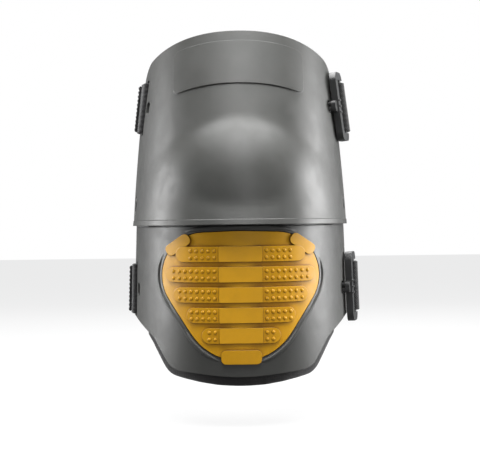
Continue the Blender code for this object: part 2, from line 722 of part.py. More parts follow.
def strap_and_clip(part, shell, middle, cheek, rear_at, slot, post, back, parent):
    """The strap, its end tab and the clip of one shell."""
    lines, bars = [], []
    for z in (middle - STRAP_WIDTH / 2, middle + STRAP_WIDTH / 2):
        rear = rear_at(z)
        bar = (cheek(rear, z) + STAND_OFF + 1.2, rear_at(middle) + 6.5)
        bars.append(Vector((*bar, z)))
        lines.append(strap_line(z, cheek, rear_at(middle), slot, back, bar, FOLD))
    finish(band(part + "_strap", *lines, STRAP_THICK), WEB, 0.9, parent=parent)

    chosen = [i for i, p in enumerate(lines[0]) if p[0] < 0 and slot + 2.5 < p[1] < rear_at(middle) + 24]
    chosen = [i for i in chosen if i > 12]
    tab_lines = []
    for line in lines:
        picked = []
        for i in chosen:
            ahead, behind = Vector(line[i + 1]), Vector(line[i - 1])
            along = (ahead - behind).normalized()
            out = Vector((-along.y, along.x, 0))
            if out.x > 0:
                out = -out
            picked.append(Vector(line[i]) + out * (STRAP_THICK / 2 + 0.3 + 0.7))
        tab_lines.append(picked)
    up = Vector((0, 0, 1.5))
    tab = band(part + "_strap_tab", [p + up for p in tab_lines[0]], [p - up for p in tab_lines[1]], 1.4)
    finish(tab, (0.02, 0.02, 0.021), 0.85, parent=parent)

    origin = (bars[0] + bars[1]) / 2
    k = (bars[1] - bars[0]).normalized()
    target = Vector((cheek(post, middle) + STAND_OFF, post, middle))
    u = target - origin
    u = (u - k * u.dot(k)).normalized()
    n = u.cross(k).normalized()
    across = k
    if n.x < 0:
        n, across = -n, -k
    place = Matrix((u, across, n)).transposed().to_4x4()
    place.translation = origin
    reach = (target - origin).length

    def block(name, a0, a1, b0, b1, c0, c1, r=1.0, steps=3):
        points = pill((a0 + a1) / 2, (b0 + b1) / 2, (a1 - a0) / 2, (b1 - b0) / 2, r, steps)
        bm_obj = prism(name, points, "Z", c0, c1)
        bm_obj.data.transform(place_mm)
        return bm_obj

    place_mm = place.copy()
    place_mm.translation = origin * MM
    half, thick = STRAP_WIDTH / 2 + 7.5, CLIP_THICK / 2
    front = reach - 5.0
    clip = block(part + "_clip", -4.0, front, -half, half, -thick, thick, 7.5, 6)
    window = block("window", -30, front - 8.5, -half + 6.0, half - 6.0, -20, 20, 3.0, 3)
    bar_obj = prism("bar", [Vector((BAR_R * math.cos(a), BAR_R * math.sin(a))) for a in np.linspace(0, 2 * math.pi, 16, endpoint=False)], "Z", -half + 3.0, half - 3.0)
    bar_obj.data.transform(Matrix.Rotation(-math.pi / 2, 4, "X"))
    bar_obj.data.transform(place_mm)
    wall_in = STAND_OFF + WALL + 2.0
    combine(
        clip,
        ("-", window),
        ("+", bar_obj),
        ("+", block("tongue", front - 2, reach + 3.2, -4.2, 4.2, -thick + 0.2, thick - 1.4, 2.6)),
    )
    for side_sign in (-1, 1):
        low, high = sorted((side_sign * 0.9, side_sign * 3.4))
        combine(clip, ("+", block("prong", reach - 2.2, reach + 2.2, low, high, -wall_in, 0, 0.5, 1)))
    for b in (-4.5, 0.0, 4.5):
        combine(clip, ("+", block("grip", front - 7.6, front - 0.8, b - 0.8, b + 0.8, 0, thick + 0.8, 0.7, 2)))
    key = block("key", reach - 4.2, reach + 4.2, -5.0, 5.0, -wall_in - 4, 0, 3.0)
    mirrored = bpy.data.objects.new("key_left", key.data.copy())
    bpy.context.scene.collection.objects.link(mirrored)
    mirrored.data.transform(Matrix.Scale(-1, 4, (1, 0, 0)))
    mirrored.data.flip_normals()
    combine(shell, ("-", key), ("-", mirrored))
    shell.data.set_sharp_from_angle(angle=math.radians(35.0))
    empty = joint_empty(part + "_clip_axis", origin, k)
    if parent is not None:
        empty.parent = parent
        empty.matrix_parent_inverse = parent.matrix_world.inverted()
        bpy.context.view_layer.update()
    finish(clip, CLIP, 0.18, parent=empty)
    return origin, k


thigh_bar, thigh_bar_axis = strap_and_clip(
    "thigh", thigh_shell, STRAP_Z, cheek_of_thigh, thigh_rear, slot_y, post_y, LEG_BACK, knee
)
shin_bar, shin_bar_axis = strap_and_clip(
    "shin", shin_shell, SHIN_STRAP_Z, cheek_of_shin, lambda z: REAR, shin_slot_y, shin_post_y, CALF_BACK, None
)
print("clip axes (m):", tuple(thigh_bar * MM), tuple(thigh_bar_axis), tuple(shin_bar * MM), tuple(shin_bar_axis))
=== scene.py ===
"""Looks of a hinged hard-shell knee pad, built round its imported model.

The helpers take millimetres, and the finished meshes are in metres.

-Y is the front of the knee, +Z up the leg, and the two knee pivots lie on the X axis through the origin.
"""

import math

import bmesh
import bpy
import numpy as np
from mathutils import Matrix, Vector


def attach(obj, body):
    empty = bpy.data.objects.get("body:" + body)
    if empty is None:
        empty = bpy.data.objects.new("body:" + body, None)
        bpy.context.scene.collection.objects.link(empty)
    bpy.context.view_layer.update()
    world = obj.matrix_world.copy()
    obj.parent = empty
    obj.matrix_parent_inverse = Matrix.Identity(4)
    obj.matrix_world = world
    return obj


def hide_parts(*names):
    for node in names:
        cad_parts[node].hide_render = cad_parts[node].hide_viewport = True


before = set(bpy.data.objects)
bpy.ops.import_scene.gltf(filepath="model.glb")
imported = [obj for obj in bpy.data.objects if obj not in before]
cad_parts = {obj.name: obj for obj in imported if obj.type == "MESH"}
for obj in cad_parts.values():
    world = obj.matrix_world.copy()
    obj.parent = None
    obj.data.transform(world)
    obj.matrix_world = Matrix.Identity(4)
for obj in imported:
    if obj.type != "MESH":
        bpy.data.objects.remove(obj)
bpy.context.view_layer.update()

# ---------------------------------------------------------------- camera
# Straight in front of the knee, a little more than a metre away, with a long lens.
camera = bpy.data.objects.new("camera", bpy.data.cameras.new("camera"))
bpy.context.scene.collection.objects.link(camera)
camera.data.lens = 116.7
camera.location = (0, -1.19, -0.016)
camera.rotation_euler = (math.radians(90), math.radians(0.7), 0)
bpy.context.scene.camera = camera

# ---------------------------------------------------------------- light and floor
# One broad light overhead, two weaker ones beside and behind the shells, and a pale floor under the pad.
bpy.context.scene.view_settings.view_transform = "Standard"
for name, place, aim, size, watts in (
    ("top", (0.05, -0.15, 0.95), (0.02, -0.12, 0), 1.4, 38.0),
    ("left", (-1.0, 0.30, 0.06), (0, 0, 0), 0.55, 8.0),
    ("right", (1.0, 0.28, 0.10), (0, 0, 0), 0.55, 11.0),
    ("front", (0.35, -1.7, 0.35), (0, 0, -0.04), 0.6, 3.0),
    ("back", (0.1, 1.2, 0.7), (0, 0, 0), 0.9, 5.0),
):
    lamp = bpy.data.objects.new(name, bpy.data.lights.new(name, "AREA"))
    bpy.context.scene.collection.objects.link(lamp)
    lamp.data.size, lamp.data.energy = size, watts
    lamp.location = place
    lamp.rotation_euler = (Vector(aim) - lamp.location).to_track_quat("-Z", "Y").to_euler()
    lamp.visible_camera = False
world = bpy.data.worlds.new("studio")
world.use_nodes = True
nodes, links = world.node_tree.nodes, world.node_tree.links
seen, lit = nodes["Background"], nodes.new("ShaderNodeBackground")
seen.inputs["Color"].default_value = (1, 1, 1, 1)
seen.inputs["Strength"].default_value = 1.0
lit.inputs["Color"].default_value = (0.93, 0.96, 1.0, 1)
lit.inputs["Strength"].default_value = 0.16
either, path = nodes.new("ShaderNodeMixShader"), nodes.new("ShaderNodeLightPath")
links.new(path.outputs["Is Camera Ray"], either.inputs["Fac"])
links.new(lit.outputs["Background"], either.inputs[1])
links.new(seen.outputs["Background"], either.inputs[2])
links.new(either.outputs["Shader"], nodes["World Output"].inputs["Surface"])
bpy.context.scene.world = world

bm = bmesh.new()
bmesh.ops.create_grid(bm, x_segments=1, y_segments=1, size=6.0, matrix=Matrix.Translation((0, 0, -0.16)))
floor = bpy.data.objects.new("floor", bpy.data.meshes.new("floor"))
bm.to_mesh(floor.data)
bm.free()
bpy.context.scene.collection.objects.link(floor)
paint = bpy.data.materials.new("floor_paint")
paint.use_nodes = True
paint.node_tree.nodes["Principled BSDF"].inputs["Base Color"].default_value = (0.10, 0.10, 0.10, 1)
paint.node_tree.nodes["Principled BSDF"].inputs["Roughness"].default_value = 0.9
nodes, links = paint.node_tree.nodes, paint.node_tree.links
path, glow = nodes.new("ShaderNodeLightPath"), nodes.new("ShaderNodeMath")
glow.operation = "MULTIPLY"
glow.inputs[1].default_value = 0.80
links.new(path.outputs["Is Camera Ray"], glow.inputs[0])
nodes["Principled BSDF"].inputs["Emission Color"].default_value = (1, 1, 1, 1)
links.new(glow.outputs["Value"], nodes["Principled BSDF"].inputs["Emission Strength"])
floor.data.materials.append(paint)

# ---------------------------------------------------------------- thigh shell
# Injection-moulded satin plastic: the cuff and the knee dome are one piece, 2.5 mm thick, with a low blank
# plaque under the rim, a rib along the lower edge, a slot for the strap and a hole in each ear for its stud.
MM = 0.001
WALL, RUN, FIT, POWER = 2.5, 1.0, 0.4, 2.2
HALF_WIDTH, CUFF_TAPER, RIM_HEIGHT, SHIN_LENGTH, DOME_R, EAR_R = 83.0, 0.035, 102.0, 123.5, 98.0, 15.0
LEAN = math.radians(19.3)
COS, SIN = math.cos(LEAN), math.sin(LEAN)
TO_THIGH = Matrix.Rotation(-LEAN, 4, "X")
DOME_HALF, CUFF_FRONT, CUFF_DEPTH = HALF_WIDTH - 9, DOME_R - 5.5, 1.655 * HALF_WIDTH


def crossing(inside_value, count, reach=420.0):
    """Distance at which a value that starts below zero crosses it, for each direction."""
    low, high = np.zeros(count), np.full(count, reach)
    for _ in range(36):
        mid = (low + high) / 2
        inside = inside_value(mid) < 0
        low, high = np.where(inside, mid, low), np.where(inside, high, mid)
    return low


def ellipsoid(d, radius, half):
    return 1 / np.sqrt((d[:, 0] / half) ** 2 + (d[:, 1] ** 2 + d[:, 2] ** 2) / radius**2)


def cuff(d, off):
    y, z = d[:, 1] * COS - d[:, 2] * SIN, d[:, 1] * SIN + d[:, 2] * COS
    depth, centre = CUFF_DEPTH + off, CUFF_DEPTH - CUFF_FRONT

    def value(r):
        half = HALF_WIDTH - CUFF_TAPER * r * z + off
        return np.abs(r * d[:, 0] / half) ** POWER + np.abs((r * y - centre) / depth) ** POWER - 1

    top = np.where(z > 0.02, (RIM_HEIGHT + 16 + off) / np.maximum(z, 0.02), 1e9)
    low = np.where(z < -0.02, (60 + off) / np.maximum(-z, 0.02), 1e9)
    return np.minimum(np.minimum(crossing(value, len(d)), top), low)


def thigh_form(off):
    def radius(d):
        a, b = cuff(d, off), ellipsoid(d, DOME_R + off, DOME_HALF + off)
        blend = np.clip(1.2 - np.abs(a - b), 0, None) / 1.2
        return np.maximum(a, b) + blend**2 * 0.3

    return radius


def cuff_form(off):
    return lambda d: cuff(d, off)


def add(name, bm):
    """Object from a mesh drawn in millimetres."""
    bmesh.ops.recalc_face_normals(bm, faces=bm.faces)
    bmesh.ops.scale(bm, vec=(MM, MM, MM), verts=bm.verts)
    obj = bpy.data.objects.new(name, bpy.data.meshes.new(name))
    bm.to_mesh(obj.data)
    bm.free()
    bpy.context.scene.collection.objects.link(obj)
    return obj


def star(name, form, around=200, across=100):
    """Closed body with its poles on the pivot line, each point moved out to its form."""
    bm = bmesh.new()
    bmesh.ops.create_uvsphere(
        bm, u_segments=around, v_segments=across, radius=1.0, matrix=Matrix.Rotation(math.pi / 2, 4, "Y")
    )
    d = np.array([vert.co for vert in bm.verts])
    d /= np.linalg.norm(d, axis=1)[:, None]
    for vert, place in zip(bm.verts, d * form(d)[:, None]):
        vert.co = place
    bmesh.ops.triangulate(bm, faces=bm.faces)
    return add(name, bm)


def layer(name, form, outer, inner, around=200, across=100):
    """Hollow body between two offsets of one form."""
    obj, inside = star(name, form(outer), around, across), star("inside", form(inner), around, across)
    inside.data.flip_normals()
    bm = bmesh.new()
    bm.from_mesh(obj.data)
    bm.from_mesh(inside.data)
    bm.to_mesh(obj.data)
    bm.free()
    bpy.data.objects.remove(inside)
    return obj


def rounded(corners, closed=True, steps=8):
    """Points of a line through (a, b, radius) corners."""
    points = []
    for i, (a, b, radius) in enumerate(corners):
        here = Vector((a, b))
        if radius <= 0 or (not closed and i in (0, len(corners) - 1)):
            points.append(here)
            continue
        before = (Vector(corners[i - 1][:2]) - here).normalized()
        after = (Vector(corners[(i + 1) % len(corners)][:2]) - here).normalized()
        half = math.acos(max(-1, min(1, before.dot(after)))) / 2
        reach = radius / math.tan(half)
        centre = here + (before + after).normalized() * radius / math.sin(half)
        start, end = here + before * reach - centre, here + after * reach - centre
        turn = math.atan2(start.x * end.y - start.y * end.x, start.dot(end))
        for step in range(steps + 1):
            cos, sin = math.cos(turn * step / steps), math.sin(turn * step / steps)
            points.append(centre + Vector((start.x * cos - start.y * sin, start.x * sin + start.y * cos)))
    return points


def pill(a, b, half_a, half_b, radius, steps=6):
    radius = min(radius, half_a - 0.01, half_b - 0.01)
    low_a, low_b, high_a, high_b = a - half_a, b - half_b, a + half_a, b + half_b
    corners = [(low_a, low_b), (high_a, low_b), (high_a, high_b), (low_a, high_b)]
    return rounded([(*corner, radius) for corner in corners], steps=steps)


def prism(name, points, axis, low, high, turn=None):
    """Outline seen along an axis, drawn out from low to high along it."""
    place = {
        "X": lambda a, b, c: (c, a, b),
        "Y": lambda a, b, c: (a, c, b),
        "Z": lambda a, b, c: (a, b, c),
    }[axis]
    bm = bmesh.new()
    face = bm.faces.new([bm.verts.new(place(p[0], p[1], low)) for p in points])
    moved = bmesh.ops.extrude_face_region(bm, geom=[face])["geom"]
    verts = [item for item in moved if isinstance(item, bmesh.types.BMVert)]
    bmesh.ops.translate(bm, vec=place(0, 0, high - low), verts=verts)
    if turn is not None:
        bmesh.ops.transform(bm, matrix=turn, verts=bm.verts)
    return add(name, bm)


def applied(obj):
    """The object with its modifiers applied."""
    bpy.context.view_layer.update()
    obj.data = bpy.data.meshes.new_from_object(obj.evaluated_get(bpy.context.evaluated_depsgraph_get()))
    obj.modifiers.clear()
    return obj


def combine(obj, *steps):
    """Applies Booleans in turn: ("-", other), ("+", other) or ("&", other). The others are used up."""
    kinds = {"-": "DIFFERENCE", "+": "UNION", "&": "INTERSECT"}
    for kind, other in steps:
        modifier = obj.modifiers.new("cut", "BOOLEAN")
        modifier.operation, modifier.solver, modifier.object = kinds[kind], "EXACT", other
        applied(obj)
        bpy.data.objects.remove(other)
    return obj


def turned(name, profile, side, steps=64):
    """Round body about the pivot line from (x, radius) points."""
    bm = bmesh.new()
    verts = [bm.verts.new((x, r, 0)) for x, r in profile]
    edges = [bm.edges.new(pair) for pair in zip(verts, verts[1:] + verts[:1])]
    bmesh.ops.spin(
        bm, geom=verts + edges, cent=(0, 0, 0), axis=(1, 0, 0), angle=math.tau, steps=steps, use_merge=True
    )
    bmesh.ops.remove_doubles(bm, verts=bm.verts, dist=1e-4)
    bmesh.ops.scale(bm, vec=(side, 1, 1), verts=bm.verts)
    return add(name, bm)


def smooth(obj, material, angle=32.0):
    obj.data.materials.clear()
    obj.data.materials.append(material)
    obj.data.shade_smooth()
    obj.data.set_sharp_from_angle(angle=math.radians(angle))
    return obj


def new_material(name):
    material = bpy.data.materials.new(name)
    material.use_nodes = True
    tree = material.node_tree
    return material, tree, tree.nodes["Principled BSDF"]


def noise(tree, coords, scale, detail=3.0, rough=0.6):
    node = tree.nodes.new("ShaderNodeTexNoise")
    node.inputs["Scale"].default_value = scale
    node.inputs["Detail"].default_value = detail
    node.inputs["Roughness"].default_value = rough
    tree.links.new(coords, node.inputs["Vector"])
    return node.outputs["Fac"]


def ramp(tree, value, *stops):
    """Colour ramp with (place, colour) stops."""
    node = tree.nodes.new("ShaderNodeValToRGB")
    for element, (place, colour) in zip(node.color_ramp.elements, (stops[0], stops[-1])):
        element.position, element.color = place, (*colour, 1)
    for place, colour in stops[1:-1]:
        node.color_ramp.elements.new(place).color = (*colour, 1)
    tree.links.new(value, node.inputs["Fac"])
    return node.outputs["Color"]


def bump(tree, value, strength, distance, before=None):
    node = tree.nodes.new("ShaderNodeBump")
    node.inputs["Strength"].default_value = strength
    node.inputs["Distance"].default_value = distance
    tree.links.new(value, node.inputs["Height"])
    if before is not None:
        tree.links.new(before, node.inputs["Normal"])
    return node.outputs["Normal"]


def satin_plastic(name, dark, light):
    """Moulded plastic: spark-eroded grain, cloudy flow marks, fine scratches and slightly paler edges."""
    material, tree, shader = new_material(name)
    coords = tree.nodes.new("ShaderNodeTexCoord").outputs["Object"]
    cloud = noise(tree, coords, 22.0, 4.0, 0.65)
    stretch = tree.nodes.new("ShaderNodeMapping")
    stretch.inputs["Scale"].default_value = (260.0, 40.0, 60.0)
    tree.links.new(coords, stretch.inputs["Vector"])
    fine = noise(tree, stretch.outputs["Vector"], 1.0, 2.0)
    scratch = ramp(tree, fine, (0.60, (0, 0, 0)), (0.72, (1, 1, 1)))
    tree.links.new(ramp(tree, cloud, (0.3, dark), (0.7, light)), shader.inputs["Base Color"])
    tree.links.new(
        ramp(tree, noise(tree, coords, 70.0, 5.0), (0.3, (0.36, 0.36, 0.36)), (0.75, (0.52, 0.52, 0.52))),
        shader.inputs["Roughness"],
    )
    soft = tree.nodes.new("ShaderNodeBevel")
    soft.samples = 6
    soft.inputs["Radius"].default_value = 0.0007
    grain = bump(tree, noise(tree, coords, 2600.0, 2.0), 0.16, 0.0002, soft.outputs["Normal"])
    tree.links.new(bump(tree, scratch, 0.04, 0.0002, grain), shader.inputs["Normal"])
    shader.inputs["Specular IOR Level"].default_value = 0.7
    return material


shell_plastic = satin_plastic("shell_plastic", (0.052, 0.053, 0.049), (0.066, 0.066, 0.061))
RIM_REAR = 8.0
rim_rear_z = (RIM_HEIGHT - SIN * RIM_REAR) / COS
thigh_side = rounded(
    [
        (-DOME_R - 40, -EAR_R, 0),
        (EAR_R, -EAR_R, EAR_R),
        (RIM_REAR, rim_rear_z, 22.0),
        (-DOME_R - 40, (RIM_HEIGHT + (DOME_R + 40) * SIN) / COS, 0),
    ],
    steps=24,
)
STRAP_Z, SHIN_STRAP_Z, STRAP_WIDTH, STRIP, SLOT = 75.0, -63.0, 38.0, 9.0, 5.0


def thigh_rear(z):
    return EAR_R + (RIM_REAR - EAR_R) * z / ((RIM_HEIGHT + SIN * -RIM_REAR) / COS)


slot_y = thigh_rear(STRAP_Z) - STRIP - SLOT / 2
hem = combine(
    layer("hem", thigh_form, 0.8, -1.0),
    ("&", prism("hem_edge", pill(-60, -EAR_R + 1.9, 60, 1.9, 1.0, 3), "X", -200, 200)),
)
plaque = combine(
    layer("plaque", thigh_form, 0.9, -WALL / 2),
    ("&", prism("plate", pill(0, RIM_HEIGHT - 25, 48, 17, 5), "Y", -160, -20, TO_THIGH)),
)
thigh_shell = combine(
    layer("thigh_shell_piece", thigh_form, 0.0, -WALL),
    ("&", prism("side", thigh_side, "X", -200, 200)),
    ("+", plaque),
    ("+", hem),
    ("-", turned("bore", [(-200, 0), (-200, 7.5), (200, 7.5), (200, 0)], 1, 72)),
    ("-", prism("slot", pill(slot_y, STRAP_Z, SLOT / 2, STRAP_WIDTH / 2 + 2, 2), "X", -200, -20)),
)
smooth(thigh_shell, shell_plastic)
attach(thigh_shell, "thigh")
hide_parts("thigh_shell")

# ---------------------------------------------------------------- shin shell
# The same plastic: a hood that runs up inside the dome, a shoulder under the dome's edge, and a tongue.
# A raised ridge runs round the window of the yellow insert, broken where the insert's tabs lie over it.
HOOD_R, HOOD_HALF = DOME_R - WALL - RUN, DOME_HALF - WALL - RUN
SHIN_HALF, SHIN_DEPTH, SHIN_FRONT = HALF_WIDTH - 1.6, 1.755 * HALF_WIDTH, DOME_R - 5.2
SHIN_TAPER, SHIN_SLOPE, SHOULDER, REAR = 0.042, 0.07, EAR_R + RUN, 13.0


def shin_centre(z):
    return SHIN_DEPTH - SHIN_FRONT + SHIN_SLOPE * (-z - 25)


def shin_form(off):
    def radius(d):
        def value(r):
            half = SHIN_HALF - SHIN_TAPER * r * d[:, 2] + off
            along = r * d[:, 1] - shin_centre(r * d[:, 2])
            return np.abs(r * d[:, 0] / half) ** POWER + np.abs(along / (SHIN_DEPTH + off)) ** POWER - 1

        steep = np.maximum(np.abs(d[:, 2]), 0.02)
        cap = np.where(np.abs(d[:, 2]) > 0.02, (SHIN_LENGTH + 25 + off) / steep, 1e9)
        return np.minimum(crossing(value, len(d)), cap)

    return radius


def hood_form(off):
    return lambda d: ellipsoid(d, HOOD_R + off, HOOD_HALF + off)


def below_shoulder(extra, rear):
    """Side outline of everything under the shoulder, which passes round the ear."""
    radius = SHOULDER + extra
    arc = [(radius * math.cos(a), radius * math.sin(a)) for a in np.linspace(-math.pi / 2, -0.35, 17)]
    front, bottom = -DOME_R - 60, -SHIN_LENGTH - 60
    return [(front, -radius), *arc, (rear, arc[-1][1]), (rear, bottom), (front, bottom)]


def tongue_outline(grow, side, bottom):
    """Front outline of the lower edge, lowered by grow under the cheeks, and by side and bottom at the tongue."""
    half = [
        (HALF_WIDTH + 40, 120, 0),
        (HALF_WIDTH + 40, -0.64 * SHIN_LENGTH, 0),
        (HALF_WIDTH * 0.985, -0.672 * SHIN_LENGTH - grow, 8),
        (HALF_WIDTH * (0.775 + 0.025 * (side > 0)), -0.787 * SHIN_LENGTH - side, 16),
        (HALF_WIDTH * (0.615 + 0.025 * (side > 0)), -0.966 * SHIN_LENGTH - 1.1 * side, 14),
    ]
    middle = [(0, -1.006 * SHIN_LENGTH - bottom, 190)]
    return rounded([(-a, b, r) for a, b, r in half] + middle + half[::-1], steps=12)


INSERT_HALF, INSERT_HEIGHT, INSERT_TOP, RIDGE = 56.0, 90.0, -(SHOULDER + 4.5), 1.7
insert_outline = rounded(
    [
        (-1.473 * INSERT_HALF, INSERT_TOP - 0.02 * INSERT_HEIGHT, 0.555 * INSERT_HALF),
        (0, INSERT_TOP + 0.012 * INSERT_HEIGHT, 2.5 * INSERT_HALF),
        (1.473 * INSERT_HALF, INSERT_TOP - 0.02 * INSERT_HEIGHT, 0.555 * INSERT_HALF),
        (0, INSERT_TOP - 1.4 * INSERT_HEIGHT, 0.768 * INSERT_HALF),
    ],
    steps=18,
)


def grown(points, by):
    """Closed outline moved outwards."""
    area = sum(points[i - 1].x * points[i].y - points[i].x * points[i - 1].y for i in range(len(points)))
    out = []
    for i, here in enumerate(points):
        along = points[(i + 1) % len(points)] - points[i - 1]
        out.append(here + Vector((along.y, -along.x)).normalized() * (by if area > 0 else -by))
    return out


def on_shin(x, z, off):
    """Point on the shin surface seen at (x, z) from the front, and the normal there."""
    half = SHIN_HALF - SHIN_TAPER * z
    y = shin_centre(z) - SHIN_DEPTH * (1 - abs(x / half) ** POWER) ** (1 / POWER)
    slope_x = math.copysign(abs(x / half) ** (POWER - 1) / half, x)
    slope_y = -(abs((y - shin_centre(z)) / SHIN_DEPTH) ** (POWER - 1)) / SHIN_DEPTH
    normal = Vector((slope_x, slope_y, 0)).normalized()
    return Vector((x, y, z)) + normal * off, normal


def loft(name, rings):
    """Body through rings of points, with a UV map that runs along it in millimetres."""
    bm = bmesh.new()
    made = [[bm.verts.new(p) for p in ring] for ring in rings]
    run = [0.0]
    for first, second in zip(rings, rings[1:]):
        run.append(run[-1] + (Vector(second[0]) - Vector(first[0])).length)
    uv = bm.loops.layers.uv.new("run")
    count = len(rings[0])
    for i, (first, second) in enumerate(zip(made, made[1:])):
        for j in range(count):
            face = bm.faces.new((first[j], first[(j + 1) % count], second[(j + 1) % count], second[j]))
            for loop_, (u, v) in zip(face.loops, ((i, j), (i, j + 1), (i + 1, j + 1), (i + 1, j))):
                loop_[uv].uv = (run[u] / 10, v / count)
    bm.faces.new(made[0][::-1])
    bm.faces.new(made[-1])
    return add(name, bm)


def bead(name, line, radius):
    """Round bead on the shin surface along a line of (x, z) points, tapered at both ends."""
    rings = []
    for i, here in enumerate(line):
        place, normal = on_shin(here.x, here.y, -0.35 * radius)
        ahead, _ = on_shin(*line[min(i + 1, len(line) - 1)], 0)
        behind, _ = on_shin(*line[max(i - 1, 0)], 0)
        across = (ahead - behind).normalized().cross(normal).normalized()
        thick = radius * min(1.0, 0.4 + 0.3 * min(i, len(line) - 1 - i))
        angles = np.linspace(0, math.tau, 14, endpoint=False)
        rings.append([place + (across * math.cos(a) + normal * math.sin(a)) * thick for a in angles])
    return loft(name, rings)


hood_top = HOOD_R * math.sin(math.radians(56))
shin_side = rounded(
    [
        (-DOME_R - 60, -SHIN_LENGTH - 50, 0),
        (REAR, -SHIN_LENGTH - 50, 0),
        (REAR, hood_top, 60),
        (-DOME_R - 60, hood_top, 0),
    ],
    steps=24,
)
outside = combine(
    star("shin_shell_piece", shin_form(0.0)),
    ("&", prism("below", below_shoulder(0, REAR + 20), "X", -200, 200)),
    ("+", star("hood", hood_form(0.0), 146, 74)),
)
inside = combine(
    star("inside", shin_form(-WALL)),
    ("&", prism("below", below_shoulder(WALL, REAR + 40), "X", -220, 220)),
    ("+", star("hood", hood_form(-WALL), 142, 72)),
)
ridge_line = grown(insert_outline, RIDGE + 1.2)
shin_shell = combine(
    outside,
    ("-", inside),
    ("&", prism("rear", shin_side, "X", -200, 200)),
    ("&", prism("tongue", tongue_outline(0, 0, 0), "Y", -200, 200)),
)
for name, first, last in (("ridge_top", 15, 41), ("ridge_right", 48, 64), ("ridge_left", 69, 85)):
    line = [ridge_line[i % len(ridge_line)] for i in range(first, last + 1)]
    combine(shin_shell, ("+", bead(name, line, RIDGE)))
shin_slot_y = REAR - STRIP - SLOT / 2
combine(
    shin_shell,
    ("-", prism("window", grown(insert_outline, FIT), "Y", -160, -22)),
    ("-", turned("bore", [(-200, 0), (-200, 5.6), (200, 5.6), (200, 0)], 1, 48)),
    ("-", prism("slot", pill(shin_slot_y, SHIN_STRAP_Z, SLOT / 2, STRAP_WIDTH / 2 + 2, 2), "X", -200, -20)),
)
smooth(shin_shell, shell_plastic)
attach(shin_shell, "shin")
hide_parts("shin_shell")

# ---------------------------------------------------------------- tread insert
# Yellow rubber kneeling insert, held in the window by three tabs in front. Five ribs with rounded ends,
# each smooth in the middle and set with two rows of small nubs at both ends.
rubber, tree, shader = new_material("tread_rubber")
coords = tree.nodes.new("ShaderNodeTexCoord").outputs["Object"]
# The ambient occlusion below paints shade into the base colour: the yellow turns dark brown in the grooves
# between the ribs and round the nubs, where shade falls, not because the rubber is darker there.
painted_shade_ao = tree.nodes.new("ShaderNodeAmbientOcclusion")
painted_shade_ao.samples = 8
painted_shade_ao.inputs["Distance"].default_value = 0.0035
GROOVE_SHADE, SHADE, YELLOW = (0.16, 0.055, 0.0), (0.55, 0.26, 0.0), (0.86, 0.43, 0.0)
depth = ramp(tree, painted_shade_ao.outputs["AO"], (0.42, GROOVE_SHADE), (0.72, SHADE), (0.95, YELLOW))
worn = ramp(tree, noise(tree, coords, 38.0, 5.0, 0.7), (0.32, (0.86, 0.84, 0.80)), (0.72, (1.0, 1.0, 1.0)))
mixed = tree.nodes.new("ShaderNodeMix")
mixed.data_type, mixed.blend_type = "RGBA", "MULTIPLY"
mixed.inputs["Factor"].default_value = 1.0
tree.links.new(depth, mixed.inputs["A"])
tree.links.new(worn, mixed.inputs["B"])
tree.links.new(mixed.outputs["Result"], shader.inputs["Base Color"])
tree.links.new(
    ramp(tree, noise(tree, coords, 90.0, 4.0), (0.3, (0.40, 0.40, 0.40)), (0.7, (0.58, 0.58, 0.58))),
    shader.inputs["Roughness"],
)
round_edges = tree.nodes.new("ShaderNodeBevel")
round_edges.samples = 6
round_edges.inputs["Radius"].default_value = 0.0006
tree.links.new(
    bump(tree, noise(tree, coords, 1900.0, 2.0), 0.14, 0.0002, round_edges.outputs["Normal"]),
    shader.inputs["Normal"],
)

RIB_TOP, RIB_HEIGHT, PANEL_HALF, SKIN = 2.7, 0.122 * INSERT_HEIGHT, 15.5, 0.7
tread_insert = combine(
    layer("tread_insert_piece", shin_form, 0.8, -WALL - SKIN - 1.3, 140, 72),
    ("&", prism("edge", insert_outline, "Y", -160, -20)),
)


def insert_half_at(z):
    hits = []
    for i, here in enumerate(insert_outline):
        before = insert_outline[i - 1]
        if (before.y - z) * (here.y - z) < 0:
            hits.append(abs(before.x + (z - before.y) / (here.y - before.y) * (here.x - before.x)))
    return min(hits)


rib_heights = [INSERT_TOP - INSERT_HEIGHT * share for share in (0.17, 0.331, 0.492, 0.653, 0.814)]
for z in rib_heights:
    half = min(insert_half_at(z + RIB_HEIGHT / 2), insert_half_at(z - RIB_HEIGHT / 2)) - 2.2
    rib = combine(
        layer("rib", shin_form, RIB_TOP - 0.5, -0.8, 140, 72),
        ("&", prism("rib_edge", pill(0, z, half, RIB_HEIGHT / 2, RIB_HEIGHT / 2, 10), "Y", -160, -20)),
    )
    face = -(SHIN_FRONT - SHIN_SLOPE * (-z - 25)) - RIB_TOP + 1.2
    combine(
        rib,
        ("-", prism("ahead", pill(0, z, PANEL_HALF, RIB_HEIGHT, 0.5, 1), "Y", face - 30, face)),
        ("+", prism("panel", pill(0, z, PANEL_HALF, RIB_HEIGHT / 2 - 0.01, 0.8, 2), "Y", face, face + 5)),
    )
    combine(tread_insert, ("+", rib))
# Each tab: its place as shares of the insert's half width and height, its half sizes and its turn in degrees.
for name, x, z, half_x, half_z, turn in (
    ("tab_left", -0.80, 0.095, 10.0, 4.2, 34),
    ("tab_right", 0.80, 0.095, 10.0, 4.2, -34),
    ("tab_low", 0, 0.985, 14.5, 5.0, 0),
):
    cos, sin = math.cos(math.radians(turn)), math.sin(math.radians(turn))
    middle = Vector((x * INSERT_HALF, INSERT_TOP - INSERT_HEIGHT * z))
    outline = [
        middle + Vector((p.x * cos - p.y * sin, p.x * sin + p.y * cos)) for p in pill(0, 0, half_x, half_z, 3.5)
    ]
    tab = combine(
        layer(name, shin_form, 1.9, FIT, 140, 72), ("&", prism("tab_edge", outline, "Y", -160, -20))
    )
    combine(tread_insert, ("+", tab))
smooth(tread_insert, rubber)
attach(tread_insert, "shin")
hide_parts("tread_insert")

